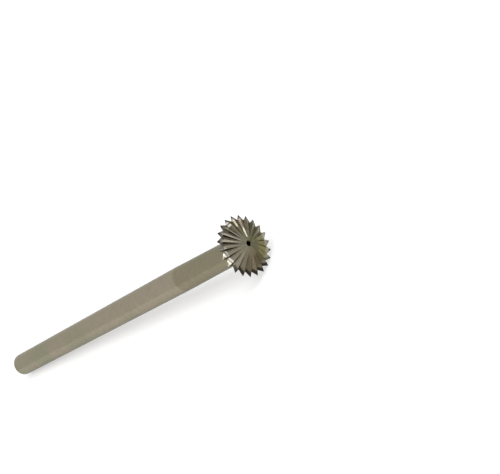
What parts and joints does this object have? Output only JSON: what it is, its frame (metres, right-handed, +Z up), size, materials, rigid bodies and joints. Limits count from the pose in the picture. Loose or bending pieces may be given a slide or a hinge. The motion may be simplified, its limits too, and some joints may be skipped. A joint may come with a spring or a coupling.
{
  "type": "knife edge bur",
  "caption": "Rotary cutter: a thin double-coned disc head with a sharp bevelled rim, milled with slanted saw-like teeth, on a straight round shank with a slightly tapered neck.",
  "frame": {"origin": "centre of the flat end of the shank", "axes": "+X along the bur's axis, from the end of the shank to the nose of the head; +Z up, with two tooth tips level at the bottom"},
  "size_m": [0.0445, 0.0052, 0.0052],
  "materials": {
    "bur_steel": "fine ground tool steel, warm grey, with milled flutes and a dull turned shank"
  },
  "bodies": {
    "root": {"knife_edge_bur": "bur_steel"}
  },
  "joints": []
}
